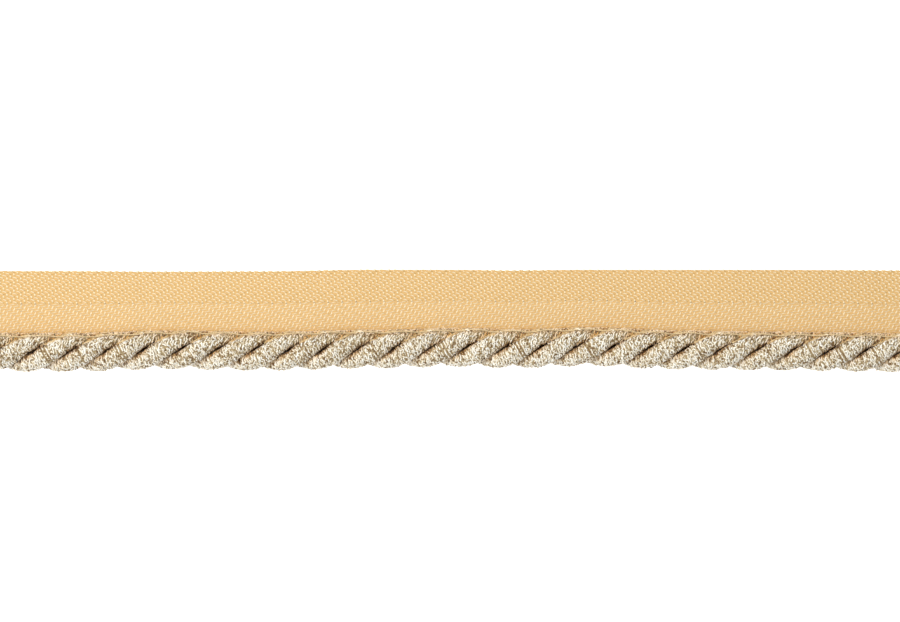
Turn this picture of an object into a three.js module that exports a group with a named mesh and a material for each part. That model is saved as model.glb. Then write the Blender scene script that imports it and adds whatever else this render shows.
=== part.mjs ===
import * as THREE from 'three';

// Flanged cord, also called piping cord or insert cord: three strands laid together into a
// twisted cord, which is sewn along one side to a flat woven tape, the flange.
// Millimetres, +Z up. The cord runs along X and lies on the surface Z = 0, with the tape on
// its +Y side. The origin is the middle of the base.

// Length and lay
const CUT_LENGTH = 194;
const LAY_LENGTH = 21.7;
const STRAND_COUNT = 3;
const GROOVE_X = 3.4;
const STEPS_PER_TURN = 16;

// Section of the cord
const CORD_RADIUS = 4.2;
const STRAND_MIDDLE_RADIUS = 2.5;
const STRAND_SIDES = 12;
const PRESSED_FLAT = 0.15;
const PRESSED_SEWN = 0.4;
const STRAND_GAP = 0.62;

// How far the sewing draws the strands along +X: not at all up to the first angle from straight
// up towards the tape, most at the second one, and less and less down to the last one
const DRAWN_ALONG = 1.95;
const DRAWN_FROM = 8;
const DRAWN_MOST = 62;
const DRAWN_TO = 180;
const DRAWN_CLEAR_OF_ENDS = 8;

// Section of the tape, its Y values counted from the cord's axis
const TAPE_THICKNESS = 1.0;
const TAPE_HIDDEN_EDGE = 2.6;
const TAPE_SEAT_END = 3.1;
const TAPE_CLEAR_EDGE = 4.5;
const TAPE_SELVEDGE = 15.6;
const SELVEDGE_CHAMFER = 0.2;
const SEAT_POINTS = 3;
const TAPE_STEPS = 48;

// Room between the cord and the tape
const PIECE_GAP = 0.3;

// How the piece lies: at each x, the cord's axis and the tape's outer edge are moved in +Y,
// and the twist is moved along +X
const LIE = [
  { x: -97, cord: -0.14, edge: 0.23, twist: -0.29 },
  { x: -76, cord: -0.16, edge: 0.19, twist: 0.4 },
  { x: -58, cord: 0.31, edge: 0.08, twist: 0.69 },
  { x: -38, cord: 0.05, edge: 0.15, twist: 0.7 },
  { x: -16, cord: 0.47, edge: 0.48, twist: 0.18 },
  { x: 2, cord: 0.84, edge: 0.46, twist: 0.26 },
  { x: 12, cord: 0.51, edge: 0.34, twist: 0.24 },
  { x: 27, cord: 0.96, edge: 0.46, twist: 0.48 },
  { x: 45, cord: 0.3, edge: 0.46, twist: 0.05 },
  { x: 64, cord: 0.07, edge: 0.45, twist: 0.06 },
  { x: 97, cord: -0.32, edge: 0.31, twist: -0.27 },
];

// Colours of the yarns
const CORD_COLOUR = 0xcab99b;
const TAPE_COLOUR = 0xeecc96;

const axisHeight = CORD_RADIUS - PRESSED_FLAT;
const strandHalfDepth = CORD_RADIUS - STRAND_MIDDLE_RADIUS;
const helixAngle = Math.atan((2 * Math.PI * STRAND_MIDDLE_RADIUS) / LAY_LENGTH);
const halfGapAngle = STRAND_GAP / 2 / (STRAND_MIDDLE_RADIUS * Math.cos(helixAngle));
const strandHalfAngle = Math.PI / STRAND_COUNT - halfGapAngle;
const strandSteps = Math.round((STEPS_PER_TURN * CUT_LENGTH) / LAY_LENGTH);

// One column of the table above, eased smoothly from row to row
function lieAt(x, column) {
  const next = LIE.findIndex((row) => row.x >= x);
  if (next <= 0) {
    return LIE[next === 0 ? 0 : LIE.length - 1][column];
  }
  const before = LIE[next - 1];
  const after = LIE[next];
  const share = THREE.MathUtils.smoothstep(x, before.x, after.x);
  return THREE.MathUtils.lerp(before[column], after[column], share);
}

// A straight bar of the given section along X, whose points are then moved by place(point).
// It is mirrored along X, with two corners of each triangle swapped to keep it facing out, so
// that its rectangles are split along the lay of the strands.
function shapedBar(section, steps, place) {
  const bar = new THREE.ExtrudeGeometry(new THREE.Shape(section), {
    depth: CUT_LENGTH,
    steps,
    bevelEnabled: false,
  });
  const corners = bar.attributes.position;
  const places = [];
  for (let first = 0; first < corners.count; first += 3) {
    for (const corner of [first, first + 2, first + 1]) {
      const x = CUT_LENGTH / 2 - corners.getZ(corner);
      places.push(place(new THREE.Vector3(x, corners.getX(corner), corners.getY(corner))));
    }
  }
  const solid = new THREE.BufferGeometry().setFromPoints(places);
  solid.computeVertexNormals();
  return solid;
}

// A strand squashed against its neighbours: an ellipse bent round the cord's axis. Its first
// coordinate is across the cord and its second one up, both from the axis.
function strandSection() {
  const section = [];
  for (let side = 0; side < STRAND_SIDES; side += 1) {
    const turn = (2 * Math.PI * side) / STRAND_SIDES;
    const radius = STRAND_MIDDLE_RADIUS + strandHalfDepth * Math.sin(turn);
    const angle = strandHalfAngle * Math.cos(turn);
    section.push(new THREE.Vector2(radius * Math.sin(angle), radius * Math.cos(angle)));
  }
  return section;
}

// How far a point of a strand is drawn along +X, at x and at an angle from straight up towards
// the tape. The cut ends stay where they are.
function drawnAlong(x, angle) {
  const degrees = THREE.MathUtils.radToDeg(angle);
  const rise = THREE.MathUtils.smoothstep(degrees, DRAWN_FROM, DRAWN_MOST);
  const fall = THREE.MathUtils.smoothstep(degrees, DRAWN_MOST, DRAWN_TO);
  const toEnd = (CUT_LENGTH / 2 - Math.abs(x)) / DRAWN_CLEAR_OF_ENDS;
  return DRAWN_ALONG * (rise - fall) * THREE.MathUtils.clamp(toEnd, 0, 1);
}

// The strand's section is turned about the axis as it goes along. It is pressed flat where the
// cord lies on the surface and on the side that is sewn to the tape. A groove between two
// strands faces up at GROOVE_X.
function strand(index) {
  const share = (index + 0.5) / STRAND_COUNT;
  const geometry = shapedBar(strandSection(), strandSteps, (point) => {
    const turns = (point.x - GROOVE_X - lieAt(point.x, 'twist')) / LAY_LENGTH + share;
    const turn = 2 * Math.PI * turns;
    const across = point.y * Math.cos(turn) + point.z * Math.sin(turn);
    const up = point.z * Math.cos(turn) - point.y * Math.sin(turn);
    const x = point.x + drawnAlong(point.x, Math.atan2(across, up));
    const y = Math.min(across, CORD_RADIUS - PRESSED_SEWN) + lieAt(point.x, 'cord');
    return new THREE.Vector3(x, y, Math.max(up + axisHeight, 0));
  });
  const material = new THREE.MeshStandardMaterial({
    color: CORD_COLOUR,
    roughness: 0.8,
    metalness: 0,
  });
  const mesh = new THREE.Mesh(geometry, material);
  mesh.name = `strand_${index + 1}`;
  return mesh;
}

// Flat tape, which gets thinner under the cord and ends in a hollow that seats it. Its upper
// face is flat from the clear edge on, where nothing lies over it.
function tapeSection() {
  const seatRadius = CORD_RADIUS + PIECE_GAP;
  const section = [
    new THREE.Vector2(TAPE_HIDDEN_EDGE, 0),
    new THREE.Vector2(TAPE_SELVEDGE - SELVEDGE_CHAMFER, 0),
    new THREE.Vector2(TAPE_SELVEDGE, SELVEDGE_CHAMFER),
    new THREE.Vector2(TAPE_SELVEDGE, TAPE_THICKNESS - SELVEDGE_CHAMFER),
    new THREE.Vector2(TAPE_SELVEDGE - SELVEDGE_CHAMFER, TAPE_THICKNESS),
    new THREE.Vector2(TAPE_CLEAR_EDGE, TAPE_THICKNESS),
  ];
  for (let i = SEAT_POINTS - 1; i >= 0; i -= 1) {
    const y = THREE.MathUtils.lerp(TAPE_HIDDEN_EDGE, TAPE_SEAT_END, i / (SEAT_POINTS - 1));
    section.push(new THREE.Vector2(y, axisHeight - Math.sqrt(seatRadius ** 2 - y ** 2)));
  }
  return section;
}

// The tape's hidden edge follows the cord, and its selvedge has a lie of its own
function tape() {
  const geometry = shapedBar(tapeSection(), TAPE_STEPS, (point) => {
    const across = THREE.MathUtils.smoothstep(point.y, CORD_RADIUS, TAPE_SELVEDGE);
    const move = THREE.MathUtils.lerp(lieAt(point.x, 'cord'), lieAt(point.x, 'edge'), across);
    return new THREE.Vector3(point.x, point.y + move, point.z);
  });
  const material = new THREE.MeshStandardMaterial({
    color: TAPE_COLOUR,
    roughness: 0.85,
    metalness: 0,
  });
  const mesh = new THREE.Mesh(geometry, material);
  mesh.name = 'tape';
  return mesh;
}

const flangedCord = new THREE.Group();
for (let index = 0; index < STRAND_COUNT; index += 1) {
  flangedCord.add(strand(index));
}
flangedCord.add(tape());

// The whole is moved so that the origin is the middle of its base
const middle = new THREE.Box3().setFromObject(flangedCord).getCenter(new THREE.Vector3());
flangedCord.position.set(-middle.x, -middle.y, 0);

export default flangedCord;
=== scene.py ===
import math
import bpy
import numpy as np
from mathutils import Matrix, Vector


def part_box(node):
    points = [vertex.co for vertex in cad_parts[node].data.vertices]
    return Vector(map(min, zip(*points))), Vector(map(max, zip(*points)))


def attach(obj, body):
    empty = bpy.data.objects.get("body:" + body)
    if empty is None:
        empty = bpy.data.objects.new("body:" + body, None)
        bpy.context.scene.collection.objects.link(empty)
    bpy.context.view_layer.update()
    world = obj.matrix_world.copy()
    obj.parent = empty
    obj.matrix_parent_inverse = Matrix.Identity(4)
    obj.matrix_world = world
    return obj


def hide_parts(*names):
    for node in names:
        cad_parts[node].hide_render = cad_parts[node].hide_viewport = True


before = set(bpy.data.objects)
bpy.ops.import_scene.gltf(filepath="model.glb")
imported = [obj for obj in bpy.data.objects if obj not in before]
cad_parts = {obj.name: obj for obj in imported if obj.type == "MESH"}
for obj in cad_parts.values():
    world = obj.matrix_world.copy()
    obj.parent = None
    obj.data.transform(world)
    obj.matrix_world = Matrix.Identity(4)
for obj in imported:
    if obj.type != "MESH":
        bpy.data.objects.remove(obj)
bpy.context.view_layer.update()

# Every shape below is worked out in millimetres, in the frame of the part, and goes into its
# mesh in metres.
MM = 0.001
BODY = "root"

# Lie of the piece, as in the part's source: at each x, the moves of the cord's axis and of the
# tape's outer edge in +Y, and of the twist along +X
LIE_COLUMNS = {"x": 0, "cord": 1, "edge": 2, "twist": 3}
LIE = np.array([
    [-97, -0.14, 0.23, -0.29],
    [-76, -0.16, 0.19, 0.4],
    [-58, 0.31, 0.08, 0.69],
    [-38, 0.05, 0.15, 0.7],
    [-16, 0.47, 0.48, 0.18],
    [2, 0.84, 0.46, 0.26],
    [12, 0.51, 0.34, 0.24],
    [27, 0.96, 0.46, 0.48],
    [45, 0.3, 0.46, 0.05],
    [64, 0.07, 0.45, 0.06],
    [97, -0.32, 0.31, -0.27],
])

# Sizes of the cord and the tape, as in the part's source
LAY_LENGTH = 21.7
STRAND_COUNT = 3
GROOVE_X = 3.4
CORD_RADIUS = 4.2
STRAND_MIDDLE_RADIUS = 2.5
PRESSED_FLAT = 0.15
PRESSED_SEWN = 0.4
TAPE_HIDDEN_EDGE = 2.6
TAPE_SEAT_END = 3.1
TAPE_CLEAR_EDGE = 4.5
TAPE_SELVEDGE = 15.6

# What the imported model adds: its place and how far it reaches
tape_low, tape_high = (np.array(corner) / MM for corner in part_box("tape"))
X_START, X_END = tape_low[0], tape_high[0]
TAPE_THICKNESS = tape_high[2]
AXIS_Y = tape_high[1] - TAPE_SELVEDGE - LIE[:, LIE_COLUMNS["edge"]].max()
AXIS_HEIGHT = CORD_RADIUS - PRESSED_FLAT

# How far the sewing draws the strands along +X, as in the part's source: not at all up to the
# first angle from straight up towards the tape, most at the second one, and less and less down
# to the last one
DRAWN_ALONG = 1.95
DRAWN_FROM, DRAWN_MOST, DRAWN_TO = 8, 62, 180
DRAWN_CLEAR_OF_ENDS = 8

# The sewing draws the wound yarn in a little further than the strands' outer form
DRAWN_IN = 0.3
SEWN_SIDE = CORD_RADIUS - PRESSED_SEWN - DRAWN_IN

# Strands: squashed against each other, with a narrow neck between them
STRAND_NECK_GAP = 0.48
STRAND_HALF_DEPTH = CORD_RADIUS - STRAND_MIDDLE_RADIUS
HELIX_ANGLE = math.atan(2 * math.pi * STRAND_MIDDLE_RADIUS / LAY_LENGTH)
ROUND_TO_ANGLE = 1 / (STRAND_MIDDLE_RADIUS * math.cos(HELIX_ANGLE))
STRAND_HALF_ANGLE = math.pi / STRAND_COUNT - STRAND_NECK_GAP / 2 * ROUND_TO_ANGLE

# Yarn wound round each strand
YARN_SPACING = 0.3
YARN_HALF_WIDTH = 0.145
YARN_HALF_HEIGHT = 0.13
YARN_SIDES = 4
SHOWN_STEPS = 26
HIDDEN_STEPS = 3
SHOWN_FROM, SHOWN_TO = math.radians(-12), math.radians(192)
CRIMP_ACROSS, CRIMP_UP = 0.11, 0.09
CRIMP_ON_CROWN, CRIMP_LEAST = 1.4, 0.7
UNEVEN_TURNS = 0.03
YARN_OVER_SURFACE = 0.02

# How far its random changes reach: crimp and flecks in steps along the yarn, the rest in turns
CRIMP_REACH, FLECK_REACH = 0.5, 0.3
UNEVEN_REACH, BULGE_REACH, CREASE_REACH, STRAY_REACH = 1.0, 2.0, 20.0, 50.0

# Where the strands close up on each other: a little at all their necks, more on the way to the
# tape and most at the cord's front, each from one angle to another, in degrees from +Z
NECK_BULGE = 0.1
SEWN_SHUT, SEWN_SHUT_ANGLES = 0.2, (8, 30)
FRONT_SHUT, FRONT_ANGLES = 0.27, (-30, -43)

# Creases across the strands: where they face and how far they stray from there, in degrees,
# their depth, its share and how that varies, and how far down the strand they reach
CREASE_FACING = -16
CREASE_STRAY = 6
CREASE_DEPTH = 0.22
CREASE_SHARE, CREASE_VARIES = 0.5, 0.6
CREASE_DOWN_TO = 0.3

# The yarn runs straight in this many turns on each side of a crease, by this much
STRAIGHT_TURNS = 2
STRAIGHTER = 0.8

# Tone of the wound yarn: its mean, what flecks and uneven turns add, and how much lighter raised
# places are, painted light where less shade falls
YARN_TONE = 0.71
FLECK_TONE, UNEVEN_TONE, RAISED_LESS_SHADE = 0.34, 0.05, 0.06
DARK_FLECK_TONE, DARK_FLECK_FROM = 0.7, -0.8

# Painted shade on the wound yarn: how much darker it is at the necks, in the grooves, on a groove's
# warm sides, at the sewing and in the creases, where shade falls.
# The necks are less shaded at the cord's front.
NECK_SHADE, GROOVE_SHADE, GROOVE_SIDE_SHADE, TAPE_SIDE_SHADE, CREASE_SHADE = 0.3, 0.12, 0.25, 0.2, 1.6
FRONT_LESS_SHADE = 0.7

# How much warmer it is: painted warm shade and reflection at the necks and on a groove's two sides,
# and at the sewing partly orange sewing yarn and partly painted reflection of the tape
NECK_WARM_SHADE, SEWING_YARN_AND_TAPE_REFLECTION = 0.3, 0.5
UPPER_SIDE_WARM_SHADE, LOWER_SIDE_WARM_SHADE, FRONT_LESS_WARM_SHADE = 0.2, 0.55, 0.4
SEWING_ANGLES = (30, 50)

# How far the necks, their warmth and the grooves reach up a strand, as the sine of its turn
NECK_REACH, WARM_REACH, GROOVE_REACH = 0.35, 0.5, 0.8


def eased(value, first, last):
    """0 up to the first value and 1 from the last one on, eased smoothly between them."""
    share = np.clip((value - first) / (last - first), 0, 1)
    return share * share * (3 - 2 * share)


def lie(x, column):
    """A column of LIE at each x, eased smoothly from row to row."""
    rows, values = LIE[:, 0], LIE[:, LIE_COLUMNS[column]]
    before = np.clip(np.searchsorted(rows, x) - 1, 0, len(rows) - 2)
    share = eased(x, rows[before], rows[before + 1])
    return values[before] + share * (values[before + 1] - values[before])


def smooth_noise(rng, count, width):
    """Random numbers of mean 0 and deviation 1 that change smoothly over width samples."""
    reach = int(3 * width) + 1
    kernel = np.exp(-0.5 * (np.arange(-reach, reach + 1) / width) ** 2)
    kernel /= np.sqrt((kernel**2).sum())
    return np.convolve(rng.normal(size=count + 2 * reach), kernel, "valid")


def unit(vectors):
    return vectors / np.maximum(np.linalg.norm(vectors, axis=-1, keepdims=True), 1e-9)


# In the flat map of a mesh of tubes: the room between two rows, in cells, and where caps go
BETWEEN_ROWS = 0.5
CAP_PLACE = [[0.999, 0.999]]


class Tubes:
    """Closed tubes along many paths, gathered into one mesh."""

    def __init__(self, sides):
        self.sides = sides
        self.points, self.quads, self.caps = [], [], []
        self.along, self.tones, self.warmths = [], [], []
        self.count = 0

    def add(self, path, up, half_width, half_height, tone, along=None, warmth=0.0):
        """A tube along path, flat side towards up. Sizes, tone and warmth may be given for each
        point, and so may the length along the yarn, which else is the path's own."""
        steps = len(path)
        forward = unit(np.gradient(path, axis=0))
        across = unit(np.cross(up, forward))
        up = np.cross(forward, across)
        turn = 2 * math.pi * np.arange(self.sides) / self.sides
        wide = np.broadcast_to(half_width, steps)[:, None, None]
        high = np.broadcast_to(half_height, steps)[:, None, None]
        ring = np.cos(turn)[None, :, None] * across[:, None] * wide
        ring = ring + np.sin(turn)[None, :, None] * up[:, None] * high
        self.points.append((path[:, None] + ring).reshape(-1, 3))
        first = self.count + np.arange(steps - 1)[:, None] * self.sides
        side = np.arange(self.sides)
        after = (side + 1) % self.sides
        quad = [first + side, first + after, first + after + self.sides, first + side + self.sides]
        self.quads.append(np.stack(quad, axis=-1).reshape(-1, 4))
        last = self.count + (steps - 1) * self.sides
        self.caps.append(self.count + side[::-1])
        self.caps.append(last + side)
        if along is None:
            step = np.linalg.norm(np.diff(path, axis=0), axis=1)
            along = np.concatenate([[0.0], np.cumsum(step)])
        self.along.append(along)
        self.tones.append(np.repeat(np.broadcast_to(tone, steps), self.sides))
        self.warmths.append(np.repeat(np.broadcast_to(warmth, steps), self.sides))
        self.count += steps * self.sides

    def corner_maps(self):
        """Two maps for the corners: length along and share round the yarn, and a flat sheet."""
        sides = self.sides
        yarn = []
        for along in self.along:
            ends = np.stack([along[:-1], along[:-1], along[1:], along[1:]], axis=-1)
            yarn.append(np.repeat(ends[:, None], sides, axis=1))
        yarn = np.concatenate(yarn)
        segments = len(yarn)
        side = np.arange(sides)
        round_it = np.stack([side, side + 1, side + 1, side], axis=-1) / sides
        around = np.broadcast_to(round_it, yarn.shape)
        yarn_map = np.stack([yarn, around], axis=-1).reshape(-1, 2)
        row = sides + BETWEEN_ROWS
        cell = 1 / math.ceil(math.sqrt(segments * row))
        per_row = int(1 / cell) - 1
        place = np.arange(segments)
        left = (place % per_row) * cell
        low = (place // per_row) * row * cell
        flat_x = np.stack([left, left, left + cell, left + cell], axis=-1)
        flat_x = np.broadcast_to(flat_x[:, None], yarn.shape)
        flat_y = low[:, None, None] + round_it * sides * cell
        fits = (segments // per_row + 1) * row * cell
        flat_y = flat_y / max(fits, 1.0)
        sheet_map = np.stack([flat_x, flat_y], axis=-1).reshape(-1, 2)
        return yarn_map, sheet_map

    def to_object(self, name, material):
        points = np.concatenate(self.points)
        quads = np.concatenate(self.quads)
        caps = np.concatenate(self.caps)
        yarn_map, sheet_map = self.corner_maps()
        cap_map = np.tile(CAP_PLACE, (len(caps), 1))
        return mesh_object(
            name,
            points,
            np.concatenate([quads.ravel(), caps]),
            np.concatenate([np.full(len(quads), 4), np.full(len(self.caps), self.sides)]),
            material,
            tone=np.concatenate(self.tones),
            warmth=np.concatenate(self.warmths),
            yarn=np.concatenate([yarn_map, cap_map]),
            sheet=np.concatenate([sheet_map, cap_map]),
            flat_faces=len(self.caps),
        )


def mesh_object(name, points, corners, sizes, material, tone, warmth=None, yarn=None,
                sheet=None, flat_faces=0):
    """An object from arrays: points in millimetres, and each face's corners one after another.
    The last flat_faces faces are shaded flat."""
    mesh = bpy.data.meshes.new(name)
    mesh.vertices.add(len(points))
    mesh.vertices.foreach_set("co", (points * MM).astype(np.float32).ravel())
    mesh.loops.add(len(corners))
    mesh.loops.foreach_set("vertex_index", corners.astype(np.int32))
    mesh.polygons.add(len(sizes))
    starts = np.concatenate([[0], np.cumsum(sizes)[:-1]])
    mesh.polygons.foreach_set("loop_start", starts.astype(np.int32))
    smooth = np.ones(len(sizes), bool)
    smooth[len(sizes) - flat_faces:] = False
    mesh.polygons.foreach_set("use_smooth", smooth)
    mesh.update(calc_edges=True)
    for value_name, values in (("tone", tone), ("warmth", warmth)):
        if values is not None:
            layer = mesh.attributes.new(value_name, "FLOAT", "POINT")
            layer.data.foreach_set("value", values.astype(np.float32))
    for map_name, places in (("Yarn", yarn), ("OFBake", sheet)):
        if places is not None:
            layer = mesh.uv_layers.new(name=map_name)
            layer.uv.foreach_set("vector", places.astype(np.float32).ravel())
    mesh.materials.append(material)
    made = bpy.data.objects.new(name, mesh)
    bpy.context.scene.collection.objects.link(made)
    return made


def drawn_along(x, angle):
    """How far the sewing draws a strand along +X, at an angle from +Z towards +Y."""
    degrees = (np.degrees(angle) + 180) % 360 - 180
    share = eased(degrees, DRAWN_FROM, DRAWN_MOST) - eased(degrees, DRAWN_MOST, DRAWN_TO)
    return DRAWN_ALONG * share * np.clip((X_END - np.abs(x)) / DRAWN_CLEAR_OF_ENDS, 0, 1)


def turns_of(index, x):
    """How many turns a strand has made round the cord at x, counted from straight up."""
    return (x - GROOVE_X - lie(x, "twist")) / LAY_LENGTH + (index + 0.5) / STRAND_COUNT


def strand_points(index, x, turn, lift):
    """Points of a strand: turn goes round its section, with the crown at a quarter turn, and
    lift is the height over its surface."""
    radius = STRAND_MIDDLE_RADIUS + (STRAND_HALF_DEPTH + lift) * np.sin(turn)
    half_angle = STRAND_HALF_ANGLE + lift * ROUND_TO_ANGLE
    angle = 2 * math.pi * turns_of(index, x) + half_angle * np.cos(turn)
    y = AXIS_Y + lie(x, "cord") + np.minimum(radius * np.sin(angle), SEWN_SIDE + lift)
    z = AXIS_HEIGHT + radius * np.cos(angle)
    return np.stack([x + drawn_along(x, angle), y, z], axis=-1)


def inside_runs(x, shortest=3):
    """First and last index of each stretch of a path that lies between the cut ends."""
    inside = (x > X_START) & (x < X_END)
    edges = np.flatnonzero(np.diff(np.concatenate([[0], inside.astype(int), [0]])))
    return [(a, b) for a, b in edges.reshape(-1, 2) if b - a >= shortest]


def add_cut(tubes, path, up, half_width, half_height, tone, warmth):
    """Adds a path's stretches between the cut ends to tubes."""
    for first, last in inside_runs(path[:, 0]):
        run = slice(first, last)
        tubes.add(path[run], up[run], half_width, half_height, tone[run], warmth=warmth[run])


def rest_on_surface(points, least):
    """Lifts the points that would lie lower than least up to it."""
    points[:, 2] = np.maximum(points[:, 2], least)
    return points


# How far a turn of yarn at right angles to its strand leans along X, from crown to neck
TURN_LEAN = STRAND_MIDDLE_RADIUS * STRAND_HALF_ANGLE * math.sin(HELIX_ANGLE) * math.cos(HELIX_ANGLE)
OUTLINE_STEPS = 400


def even_turns(first, last, steps):
    """Turns round a strand's section, evenly spaced along its outline."""
    turn = np.linspace(first, last, OUTLINE_STEPS)
    radius = STRAND_MIDDLE_RADIUS + STRAND_HALF_DEPTH * np.sin(turn)
    along = radius * STRAND_HALF_ANGLE * math.cos(HELIX_ANGLE) * np.sin(turn)
    speed = np.hypot(along, STRAND_HALF_DEPTH * np.cos(turn))
    length = np.concatenate([[0.0], np.cumsum((speed[1:] + speed[:-1]) / 2)])
    return np.interp(np.arange(steps) * length[-1] / steps, length, turn)


def in_groove(turn, reach=NECK_REACH):
    """How far a place on a strand's section lies in a groove: 0 on the crown, 1 at the neck."""
    return np.clip(1 - np.sin(turn) / reach, 0, 1)


def turned_to_tape(path, angles):
    """How far round the cord a place lies, from 0 at the first of the two angles to 1 at the
    last, in degrees from +Z towards +Y."""
    first, last = angles
    across = path[..., 1] - AXIS_Y - lie(path[..., 0], "cord")
    angle = np.degrees(np.arctan2(across, path[..., 2] - AXIS_HEIGHT))
    return np.clip((angle - first) / (last - first), 0, 1)


def creased(rng, index, x):
    """How deep each turn of the yarn at x lies in a crease across its strand, and how straight
    it runs there. The creases come back wherever the strand faces up, one or two at a time."""
    stray = CREASE_STRAY * smooth_noise(rng, len(x), STRAY_REACH)
    facing = 360 * turns_of(index, x) - CREASE_FACING - stray
    one_turn = 360 * YARN_SPACING * math.cos(HELIX_ANGLE) / LAY_LENGTH
    off = np.round(((facing + 180) % 360 - 180) / one_turn)
    depth = CREASE_SHARE + CREASE_VARIES * smooth_noise(rng, len(x), CREASE_REACH)
    depth = np.clip(depth, 0, 1)
    second = depth * (smooth_noise(rng, len(x), CREASE_REACH) > 0)
    straight = depth * (np.abs(off) <= STRAIGHT_TURNS)
    return depth * (off == -1) + second * (off == 1), straight


def yarn_shade(turn, fleck, uneven, height, front, sewing, crease):
    """Tone and warmth of the wound yarn: darker and warmer in the grooves and at the sewing, as
    painted shade and warm reflection, and at the sewing also from orange sewing yarn.
    """
    neck, groove = in_groove(turn), in_groove(turn, GROOVE_REACH)
    lower_side_warm_shade = LOWER_SIDE_WARM_SHADE - FRONT_LESS_WARM_SHADE * front
    side = np.where(np.cos(turn) > 0, lower_side_warm_shade, UPPER_SIDE_WARM_SHADE) * groove
    # Raised places are lighter: painted light
    tone = YARN_TONE + FLECK_TONE * fleck + UNEVEN_TONE * uneven + RAISED_LESS_SHADE * height
    tone = tone - DARK_FLECK_TONE * np.maximum(DARK_FLECK_FROM - fleck, 0)
    # Painted shade: darker at the necks, in the grooves, on their sides, at the sewing and in the
    # creases
    tone = tone - NECK_SHADE * neck * (1 - FRONT_LESS_SHADE * front) - GROOVE_SHADE * groove
    tone = tone - GROOVE_SIDE_SHADE * side - TAPE_SIDE_SHADE * sewing - CREASE_SHADE * crease
    # Painted warm shade and reflection in the grooves; at the sewing also orange sewing yarn
    warmth = NECK_WARM_SHADE * in_groove(turn, WARM_REACH) + side + sewing * (SEWING_YARN_AND_TAPE_REFLECTION + groove)
    return tone, np.clip(warmth, 0, 1)


def wound_yarn(index, material):
    """The crimped yarn that covers a strand, wound at right angles to it."""
    rng = np.random.default_rng(100 + index)
    advance = YARN_SPACING * math.cos(HELIX_ANGLE)
    margin = 2 * TURN_LEAN
    turns = math.ceil((X_END - X_START + 2 * margin) / advance)
    shown = even_turns(SHOWN_FROM, SHOWN_TO, SHOWN_STEPS)
    hidden = np.linspace(SHOWN_TO, SHOWN_FROM + 2 * math.pi, HIDDEN_STEPS, endpoint=False)
    one_turn = np.concatenate([shown, hidden])
    steps = len(one_turn)
    turn = (one_turn[None] + 2 * math.pi * np.arange(turns)[:, None]).ravel()
    count = len(turn)
    crimp = smooth_noise(rng, count, CRIMP_REACH)
    height = smooth_noise(rng, count, CRIMP_REACH)
    uneven = smooth_noise(rng, turns, UNEVEN_REACH).repeat(steps)
    bulge = 0.5 + 0.5 * smooth_noise(rng, turns, BULGE_REACH).repeat(steps)
    crowns = X_START - margin + advance * (np.arange(turns) + 0.25)
    crease, straight = (values.repeat(steps) for values in creased(rng, index, crowns))
    crease = crease * (np.sin(turn) > CREASE_DOWN_TO)
    free = np.clip(CRIMP_ON_CROWN * np.sin(turn), CRIMP_LEAST, 1) * (1 - STRAIGHTER * straight)
    x = X_START - margin + advance * turn / (2 * math.pi) - TURN_LEAN * np.cos(turn)
    x = x + CRIMP_ACROSS * crimp * free + UNEVEN_TURNS * uneven
    lift = CRIMP_UP * height * free - YARN_HALF_HEIGHT
    place = strand_points(index, x, turn, lift)
    front = turned_to_tape(place, FRONT_ANGLES)
    shut = SEWN_SHUT * turned_to_tape(place, SEWN_SHUT_ANGLES) + FRONT_SHUT * front
    lift = lift + in_groove(turn) * (NECK_BULGE * bulge + shut) - CREASE_DEPTH * crease
    path = strand_points(index, x, turn, lift)
    sewing = turned_to_tape(path, SEWING_ANGLES)
    up = unit(strand_points(index, x, turn, lift + 0.1) - path)
    path = rest_on_surface(path, YARN_HALF_HEIGHT + YARN_OVER_SURFACE)
    fleck = smooth_noise(rng, count, FLECK_REACH)
    tone, warmth = yarn_shade(turn, fleck, uneven, height, front, sewing, crease)
    tubes = Tubes(YARN_SIDES)
    add_cut(tubes, path, up, YARN_HALF_WIDTH, YARN_HALF_HEIGHT, tone, warmth)
    return tubes.to_object(f"strand_{index + 1}_wound_yarn", material)


# Core of each strand, and how deep it lies under the strand's surface
CORE_STEPS = 216
CORE_SIDES = 20
CORE_DEPTH = 0.22
CORE_INSIDE_ENDS = 0.05
CORE_OVER_SURFACE = 0.1


def strand_core(index, material):
    """The strand's soft core, just under the wound yarn."""
    x = np.linspace(X_START + CORE_INSIDE_ENDS, X_END - CORE_INSIDE_ENDS, CORE_STEPS)
    turn = 2 * math.pi * np.arange(CORE_SIDES) / CORE_SIDES
    points = strand_points(index, x[:, None] + 0 * turn, turn + 0 * x[:, None], -CORE_DEPTH)
    points = rest_on_surface(points.reshape(-1, 3), CORE_OVER_SURFACE)
    # Painted shade: the core is darker towards the necks between the strands
    tone = np.tile(0.5 - 0.5 * in_groove(turn), CORE_STEPS)
    first = np.arange(CORE_STEPS - 1)[:, None] * CORE_SIDES
    side = np.arange(CORE_SIDES)
    after = (side + 1) % CORE_SIDES
    quads = [first + side, first + side + CORE_SIDES, first + after + CORE_SIDES, first + after]
    quads = np.stack(quads, axis=-1).reshape(-1, 4)
    last = (CORE_STEPS - 1) * CORE_SIDES + side
    return mesh_object(
        f"strand_{index + 1}_core",
        points,
        np.concatenate([quads.ravel(), side, last[::-1]]),
        np.concatenate([np.full(len(quads), 4), [CORE_SIDES, CORE_SIDES]]),
        material,
        tone=tone,
        flat_faces=2,
    )


# Weave of the tape
WARP_ENDS = 33
TURNING_END = 16
FLOAT_LENGTH = 2
REPEAT = 4
PICK_SPACING = 0.7
WARP_SPACING = (TAPE_SELVEDGE - TAPE_HIDDEN_EDGE) / WARP_ENDS
PICKS = int((X_END - X_START) / PICK_SPACING)
PICK_STEP = (X_END - X_START) / PICKS

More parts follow.
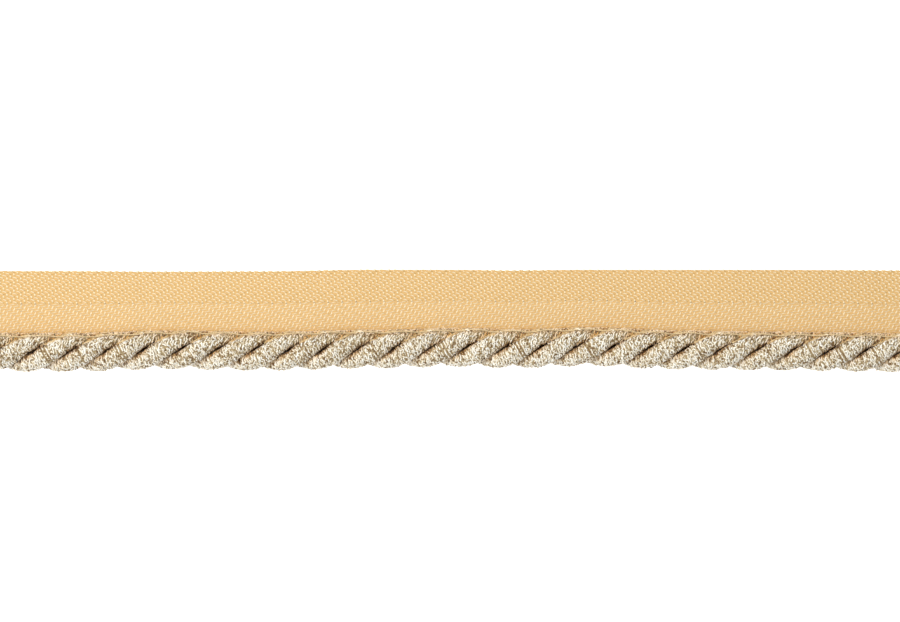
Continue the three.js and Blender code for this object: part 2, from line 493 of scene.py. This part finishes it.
# Yarns of the tape: their section, and how far they move up, down and askew at a crossing
TAPE_YARN_SIDES = 4
WARP_HALF_WIDTH, WARP_HALF_HEIGHT = 0.18, 0.245
WEFT_HALF_WIDTH, WEFT_HALF_HEIGHT = 0.5, 0.17
RISE = 0.12
WARP_SLANT, WEFT_SLANT = 0.15, 0.12
WARP_STRAY, WARP_STRAY_REACH = 0.02, 6.0
GROUND_HALF_HEIGHT = 0.24
TAPE_HEIGHTS = [0.66, 0.92, TAPE_THICKNESS]

# Plies show alike on every float. The middle of the first pick's weft float is this many warp
# ends from the turning end, above and below it. The plies are a little out of step from yarn to
# yarn and, over the reach given here, within a yarn.
MIDDLE_ABOVE, MIDDLE_BELOW = -2, 3
OUT_OF_STEP, OUT_OF_STEP_REACH = 0.1, 30.0

# Loops of the weft round the tape's edges, and how much narrower the weft gets at the selvedge
EDGE_LOOP_DEGREES = [35, 90, 145]
EDGE_LOOP_OUT, EDGE_LOOP_IN = 0.05, 0.2
EDGE_LOOP_LENGTHS = [0.2, 0.4, 0.6]
NARROWER_FROM, NARROWER = 0.5, 0.22

# Tone of the tape, how much it varies, and how much darker its selvedge is
TAPE_TONE = 0.93
TONE_VARIES, END_VARIES, TONE_REACH = 0.06, 0.03, 4.0
SELVEDGE_ENDS, SELVEDGE_DARK, EDGE_LOOP_DARK = 2, 0.6, 0.3

# Painted sheen and shade of the floats on the two sides of the turning end, the lower side first:
# how much one crossing differs from the next, and how much the middle of a weft float differs from
# its ends
CROSSING_SHEEN = np.array([0.3, 1.2])
MIDDLE_SHEEN = np.array([0.2, 0.8])

# Painted shade and warm reflection of the cord on the tape, up to here from the axis, uneven, and
# how much it darkens the tape where it falls
CORD_SHADE_END = 4.7
CORD_SHADE_MEAN, CORD_SHADE_WAVE, CORD_SHADE_VARIES = 0.75, 0.25, 0.4
CORD_SHADE_DARK = 0.9


def warp_on_top(end, pick):
    """True where the warp end passes over the pick: two over and two under, one pick further
    at each end, in mirror image on the two sides of the turning end."""
    return (pick - np.abs(end - TURNING_END)) % REPEAT < FLOAT_LENGTH


def twill_side(end, pick):
    """1 at the crossings where a float starts and -1 where it ends: a float moves into the
    free room beside each of its ends, so it lies askew."""
    return np.where((pick - np.abs(end - TURNING_END)) % 2 == 0, 1.0, -1.0)


def painted_cord_shade(x, y):
    """How strongly the cord's painted shade and warm reflection colour the tape at x and y from the
    axis: not at all where it lies clear, and most where it goes in under the cord beside a groove."""
    near = np.clip((CORD_SHADE_END - y) / (CORD_SHADE_END - SEWN_SIDE), 0, 1)
    past = (x - groove_x(0, IN_VALLEY)) * STRAND_COUNT / LAY_LENGTH
    return near**2 * (CORD_SHADE_MEAN + CORD_SHADE_WAVE * np.cos(2 * math.pi * past))


def tape_height(y):
    """How thick the tape is at y from the axis, as a share of its thickness where it lies
    clear: thinner where the cord sits on it."""
    known = [TAPE_HIDDEN_EDGE, TAPE_SEAT_END, TAPE_CLEAR_EDGE]
    return np.interp(y, known, TAPE_HEIGHTS) / TAPE_THICKNESS


def on_tape(points):
    """Moves points from a straight flat tape, y from the axis, to where the tape lies."""
    x, y, z = points[..., 0], points[..., 1], points[..., 2]
    share = eased(y, CORD_RADIUS, TAPE_SELVEDGE)
    move = lie(x, "cord") * (1 - share) + lie(x, "edge") * share
    return np.stack([x, y + move + AXIS_Y, z * tape_height(y)], axis=-1)


def float_path(on_top, sway):
    """Places, heights and sideways moves along a yarn that crosses others at 0.5, 1.5 and so
    on: one point at each crossing and one in the middle of each float."""
    heights = np.where(on_top, RISE, -RISE)
    count = len(heights)
    places = np.arange(count) + 0.5
    middle = np.flatnonzero(heights[:-1] == heights[1:])
    places = np.concatenate([[0.0], places, middle + 1.0, [count]])
    heights = np.concatenate([heights[:1], heights, heights[middle], heights[-1:]])
    sway = np.concatenate([sway[:1], sway, np.zeros(len(middle)), sway[-1:]])
    order = np.argsort(places, kind="stable")
    return places[order], heights[order], sway[order]


def tape_warp(material):
    """The warp ends, which run along the tape."""
    rng = np.random.default_rng(11)
    tubes = Tubes(TAPE_YARN_SIDES)
    picks = np.arange(PICKS)
    for end in range(WARP_ENDS):
        side = 1 if end > TURNING_END else 0
        slant = WARP_SLANT * (2 * side - 1) * twill_side(end, picks)
        places, heights, sway = float_path(warp_on_top(end, picks), slant)
        count = len(places)
        x = X_START + places * PICK_STEP
        y = TAPE_HIDDEN_EDGE + (end + 0.5) * WARP_SPACING
        y = y + sway + WARP_STRAY * smooth_noise(rng, count, WARP_STRAY_REACH)
        path = on_tape(np.stack([x, y, TAPE_THICKNESS / 2 + heights], axis=-1))
        up = np.tile([0.0, 0.0, 1.0], (count, 1))
        tone = TAPE_TONE + TONE_VARIES * smooth_noise(rng, count, TONE_REACH)
        tone = tone + END_VARIES * rng.normal()
        # Painted sheen and shade from one crossing to the next
        tone = tone + CROSSING_SHEEN[side] * (2 * side - 1) * sway / WARP_SLANT
        if end >= WARP_ENDS - SELVEDGE_ENDS:
            tone = tone - SELVEDGE_DARK
        high = WARP_HALF_HEIGHT * tape_height(np.full(count, y.mean()))
        float_middle = (abs(end - TURNING_END) + 1) * PICK_SPACING + OUT_OF_STEP * rng.normal()
        along = x - X_START - float_middle
        along = along + OUT_OF_STEP * smooth_noise(rng, count, OUT_OF_STEP_REACH)
        # Painted shade and warm reflection of the cord, uneven along the end
        shaded_share = 1 + CORD_SHADE_VARIES * smooth_noise(rng, count, TONE_REACH)
        warmth = painted_cord_shade(x, y) * np.clip(shaded_share, 0, 1)
        tone = tone - CORD_SHADE_DARK * warmth
        tubes.add(path, up, WARP_HALF_WIDTH, high, tone, along=along, warmth=warmth)
    return tubes.to_object("tape_warp", material)


def tape_weft(material):
    """The weft, one yarn to and fro across the tape, with a loop round each edge."""
    rng = np.random.default_rng(12)
    ends = np.arange(WARP_ENDS)
    bend = np.radians(EDGE_LOOP_DEGREES)
    xs, ys, zs, lengths, tones = [], [], [], [], []
    for pick in range(PICKS):
        slant = -WEFT_SLANT * twill_side(ends, pick)
        crossings = float_path(~warp_on_top(ends, pick), slant)
        places, heights, sway = (values[1:-1] for values in crossings)
        x = X_START + (pick + 0.5) * PICK_STEP + sway
        y = TAPE_HIDDEN_EDGE + places * WARP_SPACING
        above = places > TURNING_END + 0.5
        side = above.astype(int)
        # Painted sheen and shade along each weft float and from crossing to crossing
        middles = np.cos(math.pi * (pick + np.abs(places - TURNING_END)))
        tone = -MIDDLE_SHEEN[side] * middles - CROSSING_SHEEN[side] * sway / WEFT_SLANT
        float_middle = TURNING_END + np.where(above, pick + MIDDLE_ABOVE, MIDDLE_BELOW - pick)
        along = (places - float_middle) * WARP_SPACING
        edge, outward = TAPE_SELVEDGE, 1
        if pick % 2:
            x, y, heights, tone, along = x[::-1], y[::-1], heights[::-1], tone[::-1], -along[::-1]
            edge, outward = TAPE_HIDDEN_EDGE, -1
        along = along + OUT_OF_STEP * rng.normal()
        xs.append(x)
        ys.append(y)
        zs.append(TAPE_THICKNESS / 2 + heights)
        lengths.append(along)
        tones.append(tone)
        if pick < PICKS - 1:
            xs.append(x[0] + PICK_STEP / 2 * (1 - np.cos(bend)))
            ys.append(edge + outward * (EDGE_LOOP_OUT * np.sin(bend) - EDGE_LOOP_IN))
            zs.append(np.full(len(bend), TAPE_THICKNESS / 2))
            lengths.append(along[-1] + np.array(EDGE_LOOP_LENGTHS))
            tones.append(np.full(len(bend), -EDGE_LOOP_DARK))
    path = np.stack([np.concatenate(xs), np.concatenate(ys), np.concatenate(zs)], axis=-1)
    count = len(path)
    high = WEFT_HALF_HEIGHT * tape_height(path[:, 1])
    # Painted shade and warm reflection of the cord
    warmth = painted_cord_shade(path[:, 0], path[:, 1])
    path = on_tape(path)
    at_selvedge = (path[:, 1] - AXIS_Y - TAPE_SELVEDGE + NARROWER_FROM) / NARROWER_FROM
    wide = WEFT_HALF_WIDTH - NARROWER * np.clip(at_selvedge, 0, 1)
    up = np.tile([0.0, 0.0, 1.0], (count, 1))
    tone = TAPE_TONE + TONE_VARIES * smooth_noise(rng, count, TONE_REACH) + np.concatenate(tones)
    tone = tone - CORD_SHADE_DARK * warmth
    tubes = Tubes(TAPE_YARN_SIDES)
    tubes.add(path, up, wide, high, tone, along=np.concatenate(lengths), warmth=warmth)
    return tubes.to_object("tape_weft", material)


# Middle sheet of the tape: its steps along the tape, and its places across it from the axis
GROUND_STEPS = 97
GROUND_PLACES = [TAPE_HIDDEN_EDGE + 0.05, TAPE_SEAT_END, TAPE_CLEAR_EDGE, 8.0, 12.0, TAPE_SELVEDGE]


def tape_ground(material):
    """The closed middle of the weave: a thin sheet between the two faces of the tape."""
    steps, columns = GROUND_STEPS, len(GROUND_PLACES)
    x = np.linspace(X_START, X_END, steps)[:, None]
    y = np.array(GROUND_PLACES)[None]
    faces_of_sheet = []
    for move in (GROUND_HALF_HEIGHT, -GROUND_HALF_HEIGHT):
        face = np.stack(np.broadcast_arrays(x, y, TAPE_THICKNESS / 2 + move), axis=-1)
        faces_of_sheet.append(face.reshape(-1, 3))
    points = on_tape(np.concatenate(faces_of_sheet))
    total = steps * columns
    faces = []
    for i in range(steps - 1):
        for j in range(columns - 1):
            a = i * columns + j
            b = a + columns
            faces.append((a, b, b + 1, a + 1))
            faces.append((total + a, total + a + 1, total + b + 1, total + b))
        for j, flip in ((0, False), (columns - 1, True)):
            a = i * columns + j
            b = a + columns
            face = (a, total + a, total + b, b)
            faces.append(face[::-1] if flip else face)
    for i, flip in ((0, True), (steps - 1, False)):
        for j in range(columns - 1):
            a = i * columns + j
            face = (a, total + a, total + a + 1, a + 1)
            faces.append(face[::-1] if flip else face)
    faces = np.array(faces)
    return mesh_object(
        "tape_ground",
        points,
        faces.ravel(),
        np.full(len(faces), 4),
        material,
        tone=np.full(len(points), 0.5),
        flat_faces=len(faces),
    )


# Catch thread: it lies over each strand where the cord meets the tape and sinks into each groove
OVER_STRAND, IN_VALLEY = math.radians(48), math.radians(52)
THREAD_RADIUS = 0.17
THREAD_STEP = 0.16
THREAD_STRAY, THREAD_STRAY_REACH = 0.03, 20.0
THREAD_SIDES = 5
INSIDE_ENDS = 0.2
PLY_RADIUS = 0.1
PLY_TURN = 1.1
DEEPEST = 3.6
SLACK = 0.08

# Its loose loops: none or a few past each groove, the angles they lie between, their length
# along the cord, how they rise over it, and their section
MOST_LOOPS = 2
PAST_GROOVE, LOOP_SPACING = (1.0, 1.6), 0.35
LOOP_LONG = (0.6, 1.4)
LOOP_OVER_CORD, LOOP_BOW = 0.1, 0.12
LOOP_STEPS = 6
LOOP_LOW, LOOP_HIGH = math.radians(58), math.radians(45)
LOOP_HALF_WIDTH, LOOP_HALF_HEIGHT = 0.09, 0.07
# Painted highlight: the loops are lighter than the rest of the same thread
LOOP_HIGHLIGHT_TONE = 0.95
LOOP_INSIDE_ENDS = 0.5


def cord_surface(x, angle):
    """The cord's radius at x, at an angle from +Z towards +Y."""
    widest = math.pi / STRAND_COUNT
    x = x - drawn_along(x, angle)
    off = (angle - 2 * math.pi * turns_of(0, x) + widest) % (2 * widest) - widest
    bend = np.sqrt(np.clip(1 - (off / STRAND_HALF_ANGLE) ** 2, 0, 1))
    return STRAND_MIDDLE_RADIUS + STRAND_HALF_DEPTH * bend


def round_cord(x, radius, angle):
    """Points at a radius and an angle from +Z towards +Y round the cord's axis."""
    y = AXIS_Y + lie(x, "cord") + radius * np.sin(angle)
    z = AXIS_HEIGHT + radius * np.cos(angle)
    return np.stack([x, y, z], axis=-1)


def catch_thread(material):
    """Two plies twisted together, on the side of the cord that is sewn to the tape."""
    rng = np.random.default_rng(21)
    x = np.arange(X_START + INSIDE_ENDS, X_END - INSIDE_ENDS, THREAD_STEP)
    middle_angle = (OVER_STRAND + IN_VALLEY) / 2
    depth = np.clip((CORD_RADIUS - cord_surface(x, middle_angle)) / (CORD_RADIUS - DEEPEST), 0, 1)
    angle = OVER_STRAND + (IN_VALLEY - OVER_STRAND) * depth
    angle = angle + THREAD_STRAY * smooth_noise(rng, len(x), THREAD_STRAY_REACH)
    radius = np.maximum(cord_surface(x, angle), DEEPEST) + SLACK
    middle = round_cord(x, radius, angle)
    out = np.stack([0 * x, np.sin(angle), np.cos(angle)], axis=-1)
    forward = unit(np.gradient(middle, axis=0))
    across = unit(np.cross(out, forward))
    out = np.cross(forward, across)
    tubes = Tubes(THREAD_SIDES)
    for ply in range(2):
        twist = 2 * math.pi * x / PLY_TURN + math.pi * ply
        side = np.cos(twist)[:, None] * across + np.sin(twist)[:, None] * out
        path = middle + (THREAD_RADIUS - PLY_RADIUS) * side
        tubes.add(path, side, PLY_RADIUS, PLY_RADIUS, 0.5)
    add_loose_loops(tubes, rng)
    return tubes.to_object("catch_thread", material)


def groove_x(groove, angle):
    """Where along X a groove runs at an angle from +Z towards +Y round the cord's axis."""
    x = GROOVE_X + groove * LAY_LENGTH / STRAND_COUNT + angle / (2 * math.pi) * LAY_LENGTH
    x = x + lie(x, "twist")
    return x + drawn_along(x, angle)


def grooves_between(angle):
    """The numbers of the grooves that pass the angle between the cut ends."""
    pitch = LAY_LENGTH / STRAND_COUNT
    first = math.ceil((X_START - groove_x(0, angle)) / pitch)
    return range(first, first + int((X_END - X_START) / pitch))


def add_loose_loops(tubes, rng):
    """Short loops of thread that stand up where the catch thread comes down from a strand."""
    share = np.linspace(0, 1, LOOP_STEPS)
    angle = LOOP_LOW + (LOOP_HIGH - LOOP_LOW) * share
    for groove in grooves_between(IN_VALLEY):
        start = groove_x(groove, IN_VALLEY) + rng.uniform(*PAST_GROOVE)
        for loop in range(rng.integers(0, MOST_LOOPS + 1)):
            x = start + LOOP_SPACING * loop + rng.uniform(*LOOP_LONG) * share
            if x[0] > X_START + LOOP_INSIDE_ENDS and x[-1] < X_END - LOOP_INSIDE_ENDS:
                over_cord = LOOP_OVER_CORD + LOOP_BOW * np.sin(math.pi * share)
                radius = cord_surface(x, angle) + over_cord
                path = round_cord(x, radius, angle)
                up = unit(round_cord(x, radius + 1, angle) - path)
                tubes.add(path, up, LOOP_HALF_WIDTH, LOOP_HALF_HEIGHT, LOOP_HIGHLIGHT_TONE)


# Tie yarns, side by side in each groove: they come round the tape's hidden edge, close up and
# run up the groove. Their radius round the cord's axis and how far they spread change with the
# angle from +Z.
TIE_DEGREES = [20, 32, 46, 60, 100, 138, 150, 170]
TIE_RADII = [2.6, 2.8, 3.1, 3.4, 3.5, 4.2, 3.8, 3.5]
SPREAD_DEGREES = [19, 55, 115, 145]
SPREAD = [0.2, 1.0, 1.0, 2.2]
TIE_OFFSETS = (-0.39, -0.13, 0.13, 0.39)
TIE_START, TIE_END, TIE_END_VARIES = 170, 24, 9
TIE_STEPS = 42
TIE_SIDES = 4
TIE_HALF_WIDTH, TIE_HALF_HEIGHT = 0.2, 0.13
TIE_STRAY, TIE_STRAY_REACH = 0.06, 0.8
TIE_TONE, TIE_TONE_VARIES, TIE_TONE_REACH = 0.55, 0.3, 0.3
TIE_WARMTH = 0.2
TIE_INSIDE_ENDS = 0.3

# A groove has them if it passes this angle between the cut ends
TIED_AT = math.radians(80)


def tie_yarns(material):
    """The yarns that tie the cord to the tape, from under the cord up along each groove."""
    rng = np.random.default_rng(22)
    tubes = Tubes(TIE_SIDES)
    for groove in grooves_between(TIED_AT):
        for offset in TIE_OFFSETS:
            end = TIE_END + rng.uniform(0, TIE_END_VARIES)
            degrees = np.linspace(TIE_START, end, TIE_STEPS)
            angle = np.radians(degrees)
            radius = np.interp(degrees, TIE_DEGREES, TIE_RADII)
            x = groove_x(groove, angle) + offset * np.interp(degrees, SPREAD_DEGREES, SPREAD)
            if x.min() > X_START + TIE_INSIDE_ENDS and x.max() < X_END - TIE_INSIDE_ENDS:
                stray = TIE_STRAY * smooth_noise(rng, len(x), TIE_STRAY_REACH)
                path = round_cord(x, radius + stray, angle)
                up = unit(round_cord(x, radius + 1, angle) - path)
                tone = TIE_TONE + TIE_TONE_VARIES * smooth_noise(rng, len(x), TIE_TONE_REACH)
                tubes.add(path, up, TIE_HALF_WIDTH, TIE_HALF_HEIGHT, tone, warmth=TIE_WARMTH)
    return tubes.to_object("tie_yarns", material)


class Nodes:
    """Short ways to write a material's nodes."""

    def __init__(self, name):
        self.material = bpy.data.materials.new(name)
        self.material.use_nodes = True
        self.tree = self.material.node_tree
        self.shader = self.tree.nodes["Principled BSDF"]

    def add(self, kind, **settings):
        node = self.tree.nodes.new(kind)
        for name, value in settings.items():
            setattr(node, name, value)
        return node

    def link(self, source, target):
        self.tree.links.new(source, target)

    def math(self, operation, first, second=0.0):
        node = self.add("ShaderNodeMath", operation=operation)
        for socket, value in zip(node.inputs, (first, second)):
            if isinstance(value, (int, float)):
                socket.default_value = value
            else:
                self.link(value, socket)
        return node.outputs[0]

    def noise(self, vector, scale, detail=2.0):
        node = self.add("ShaderNodeTexNoise")
        node.inputs["Scale"].default_value = scale
        node.inputs["Detail"].default_value = detail
        self.link(vector, node.inputs["Vector"])
        return node.outputs["Fac"]

    def stops(self, factor, colours):
        """A colour ramp through the colours, given as (place, colour)."""
        node = self.add("ShaderNodeValToRGB")
        ramp = node.color_ramp
        while len(ramp.elements) < len(colours):
            ramp.elements.new(0.5)
        for element, (place, colour) in zip(ramp.elements, colours):
            element.position = place
            element.color = (*colour, 1)
        self.link(factor, node.inputs["Fac"])
        return node.outputs["Color"]

    def tinted(self, colour, factor):
        """The colour, multiplied by a warm brown as far as the factor says."""
        node = self.add("ShaderNodeMix", data_type="RGBA", blend_type="MULTIPLY")
        self.link(factor, node.inputs[0])
        self.link(colour, node.inputs[6])
        node.inputs[7].default_value = (*WARM_BROWN, 1)
        return node.outputs[2]


# Yarn materials: the warm brown that tints warm places, which is painted warm shade and reflection
# in the grooves and beside the cord and the own colour of the sewing and tie yarns; the plies, and
# the mean of the lines that they draw
WARM_BROWN = (0.88, 0.54, 0.18)
PLIES = 2
PLY_LINES_MEAN = 0.64

# Scales of the clouds and fibres, and what the fibres add to tone, height and roughness
CLOUD_SCALE = 7000.0
FIBRE_SCALE, FIBRES_PER_LENGTH = 5.0, 2.5
FIBRE_TINT, FIBRE_HEIGHT = 0.4, 0.3
ROUGHNESS_VARIES = 0.12


def yarn_material(name, colours, ply_length, ply_depth, ply_shade, speckle, roughness):
    """A yarn seen close up: plies that wind round it, fine fibres, and uneven colour."""
    n = Nodes(name)
    place = n.add("ShaderNodeUVMap", uv_map="Yarn").outputs["UV"]
    split = n.add("ShaderNodeSeparateXYZ")
    n.link(place, split.inputs[0])
    along, around = split.outputs["X"], split.outputs["Y"]
    tone = n.add("ShaderNodeAttribute", attribute_name="tone").outputs["Fac"]
    where = n.add("ShaderNodeNewGeometry").outputs["Position"]
    cloudy = n.noise(where, CLOUD_SCALE)
    turned = n.math("SUBTRACT", n.math("MULTIPLY", along, math.pi / ply_length),
                    n.math("MULTIPLY", around, math.pi * PLIES))
    lines = n.math("ABSOLUTE", n.math("SINE", turned))
    fibre_place = n.add("ShaderNodeCombineXYZ")
    n.link(n.math("MULTIPLY", along, FIBRES_PER_LENGTH), fibre_place.inputs[0])
    n.link(n.math("SINE", n.math("MULTIPLY", around, 2 * math.pi)), fibre_place.inputs[1])
    n.link(n.math("COSINE", n.math("MULTIPLY", around, 2 * math.pi)), fibre_place.inputs[2])
    fibres = n.noise(fibre_place.outputs[0], FIBRE_SCALE, detail=3.0)
    shade = n.math("ADD", tone, n.math("MULTIPLY", n.math("SUBTRACT", cloudy, 0.5), speckle))
    shade = n.math("ADD", shade, n.math("MULTIPLY", n.math("SUBTRACT", fibres, 0.5), FIBRE_TINT))
    # Painted shade in the grooves between the plies, where the ply lines dip
    over_mean = n.math("SUBTRACT", lines, PLY_LINES_MEAN)
    shade = n.math("ADD", shade, n.math("MULTIPLY", over_mean, ply_shade))
    warmth = n.add("ShaderNodeAttribute", attribute_name="warmth").outputs["Fac"]
    n.link(n.tinted(n.stops(shade, colours), warmth), n.shader.inputs["Base Color"])
    height = n.math("ADD", lines, n.math("MULTIPLY", fibres, FIBRE_HEIGHT))
    bump = n.add("ShaderNodeBump")
    bump.inputs["Strength"].default_value = 1.0
    bump.inputs["Distance"].default_value = ply_depth * MM
    n.link(height, bump.inputs["Height"])
    n.link(bump.outputs["Normal"], n.shader.inputs["Normal"])
    rough = n.add("ShaderNodeMapRange")
    rough.inputs["To Min"].default_value = roughness - ROUGHNESS_VARIES
    rough.inputs["To Max"].default_value = roughness + ROUGHNESS_VARIES
    n.link(fibres, rough.inputs["Value"])
    n.link(rough.outputs["Result"], n.shader.inputs["Roughness"])
    n.shader.inputs["Sheen Weight"].default_value = 0.2
    n.shader.inputs["Sheen Roughness"].default_value = 0.4
    return n.material


# Filling materials: what their texture adds to tone, and between which values roughness lies
FILLING_TINT = 0.6
FILLING_ROUGHNESS = (0.75, 0.95)


def filling_material(name, colours, scale, depth):
    """A surface deep between the yarns, with a little texture of its own."""
    n = Nodes(name)
    where = n.add("ShaderNodeNewGeometry").outputs["Position"]
    tone = n.add("ShaderNodeAttribute", attribute_name="tone").outputs["Fac"]
    fine = n.noise(where, scale, detail=4.0)
    shade = n.math("ADD", tone, n.math("MULTIPLY", n.math("SUBTRACT", fine, 0.5), FILLING_TINT))
    n.link(n.stops(shade, colours), n.shader.inputs["Base Color"])
    bump = n.add("ShaderNodeBump")
    bump.inputs["Strength"].default_value = 0.7
    bump.inputs["Distance"].default_value = depth * MM
    n.link(fine, bump.inputs["Height"])
    n.link(bump.outputs["Normal"], n.shader.inputs["Normal"])
    rough = n.add("ShaderNodeMapRange")
    rough.inputs["To Min"].default_value = FILLING_ROUGHNESS[0]
    rough.inputs["To Max"].default_value = FILLING_ROUGHNESS[1]
    n.link(fine, rough.inputs["Value"])
    n.link(rough.outputs["Result"], n.shader.inputs["Roughness"])
    return n.material


cord_yarn = yarn_material(
    "cord_yarn",
    [(0.0, (0.18, 0.09, 0.02)), (0.2, (0.52, 0.355, 0.125)), (0.5, (0.84, 0.72, 0.485)),
     (0.9, (1.0, 0.98, 0.90))],
    ply_length=0.5, ply_depth=0.03, ply_shade=0.1, speckle=3.4, roughness=0.45,
)
tape_look = {
    "colours": [(0.15, (0.55, 0.365, 0.135)), (0.55, (0.722, 0.606, 0.38)),
                (0.95, (0.81, 0.695, 0.475))],
    "ply_depth": 0.1, "ply_shade": 0.85, "speckle": 0.3, "roughness": 0.5,
}
warp_yarn = yarn_material("tape_warp_yarn", ply_length=2 * PICK_SPACING, **tape_look)
weft_yarn = yarn_material("tape_weft_yarn", ply_length=REPEAT * WARP_SPACING, **tape_look)
thread_yarn = yarn_material(
    "thread_yarn",
    [(0.0, (0.34, 0.17, 0.06)), (0.5, (0.72, 0.54, 0.28)), (0.9, (0.94, 0.86, 0.68))],
    ply_length=0.5, ply_depth=0.02, ply_shade=0.1, speckle=0.3, roughness=0.5,
)
tie_yarn = yarn_material(
    "tie_yarn",
    [(0.0, (0.26, 0.15, 0.045)), (0.4, (0.54, 0.37, 0.15)), (0.9, (0.80, 0.67, 0.40))],
    ply_length=0.5, ply_depth=0.04, ply_shade=0.3, speckle=2.0, roughness=0.5,
)
# The core is dark partly as its own colour and partly as painted shade in the gaps between the
# turns of wound yarn
core_yarn = filling_material(
    "core_yarn",
    [(0.0, (0.11, 0.06, 0.03)), (0.3, (0.27, 0.19, 0.09)), (0.7, (0.47, 0.37, 0.21))],
    scale=2500.0, depth=0.1,
)
ground_yarn = filling_material(
    "ground_yarn", [(0.2, (0.60, 0.35, 0.12)), (0.8, (0.70, 0.47, 0.20))], scale=2500.0, depth=0.1,
)

for index in range(STRAND_COUNT):
    node = f"strand_{index + 1}"
    core = strand_core(index, core_yarn)
    wound = wound_yarn(index, cord_yarn)
    for piece in (core, wound):
        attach(piece, BODY)
    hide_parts(node)

ground = tape_ground(ground_yarn)
warp = tape_warp(warp_yarn)
weft = tape_weft(weft_yarn)
for piece in (ground, warp, weft):
    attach(piece, BODY)
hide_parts("tape")
thread = catch_thread(thread_yarn)
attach(thread, BODY)
ties = tie_yarns(tie_yarn)
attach(ties, BODY)

# Floor, which glows so that it stays white round the piece, and less the less open sky it sees
FLOOR_HALF = 1.5
OPEN_REACH, OPEN_GLOW, MOST_GLOW = 12, 2.2, 1.1
floor_mesh = bpy.data.meshes.new("floor")
floor_mesh.from_pydata(
    [(-FLOOR_HALF, -FLOOR_HALF, 0), (FLOOR_HALF, -FLOOR_HALF, 0),
     (FLOOR_HALF, FLOOR_HALF, 0), (-FLOOR_HALF, FLOOR_HALF, 0)],
    [], [(0, 1, 2, 3)],
)
floor = bpy.data.objects.new("floor", floor_mesh)
bpy.context.scene.collection.objects.link(floor)
f = Nodes("floor")
f.shader.inputs["Base Color"].default_value = (0.8, 0.8, 0.8, 1)
f.shader.inputs["Roughness"].default_value = 0.9
f.shader.inputs["Emission Color"].default_value = (1, 1, 1, 1)
open_sky = f.add("ShaderNodeAmbientOcclusion", samples=8)
open_sky.inputs["Distance"].default_value = OPEN_REACH * MM
glow = f.math("MINIMUM", f.math("MULTIPLY", open_sky.outputs["AO"], OPEN_GLOW), MOST_GLOW)
f.link(glow, f.shader.inputs["Emission Strength"])
floor_mesh.materials.append(f.material)

# Light
world = bpy.data.worlds.new("studio")
bpy.context.scene.world = world
world.use_nodes = True
world.node_tree.nodes["Background"].inputs["Color"].default_value = (1, 1, 1, 1)
world.node_tree.nodes["Background"].inputs["Strength"].default_value = 0.55


def area_light(name, place, size, watts):
    light = bpy.data.lights.new(name, "AREA")
    light.shape = "DISK"
    light.size = size
    light.energy = watts
    lamp = bpy.data.objects.new(name, light)
    lamp.location = place
    lamp.rotation_euler = (-Vector(place)).to_track_quat("-Z", "Y").to_euler()
    bpy.context.scene.collection.objects.link(lamp)


area_light("key_light", place=(-0.34, 0.2, 0.85), size=0.5, watts=7.8)

# Camera: straight above, far away, so that 900 pixels span 180 millimetres at the height given
LENS, SENSOR = 200, 36
VIEW_WIDTH, AT_HEIGHT = 180, 5.0
CORD_BELOW_MIDDLE = 7.8
camera_data = bpy.data.cameras.new("camera")
camera_data.lens = LENS
camera_data.sensor_width = SENSOR
camera = bpy.data.objects.new("camera", camera_data)
distance = VIEW_WIDTH * LENS / SENSOR + AT_HEIGHT
camera.location = Vector((0, AXIS_Y + CORD_BELOW_MIDDLE, distance)) * MM
bpy.context.scene.collection.objects.link(camera)
bpy.context.scene.camera = camera
bpy.context.scene.view_settings.view_transform = "Standard"
bpy.context.scene.view_settings.look = "None"
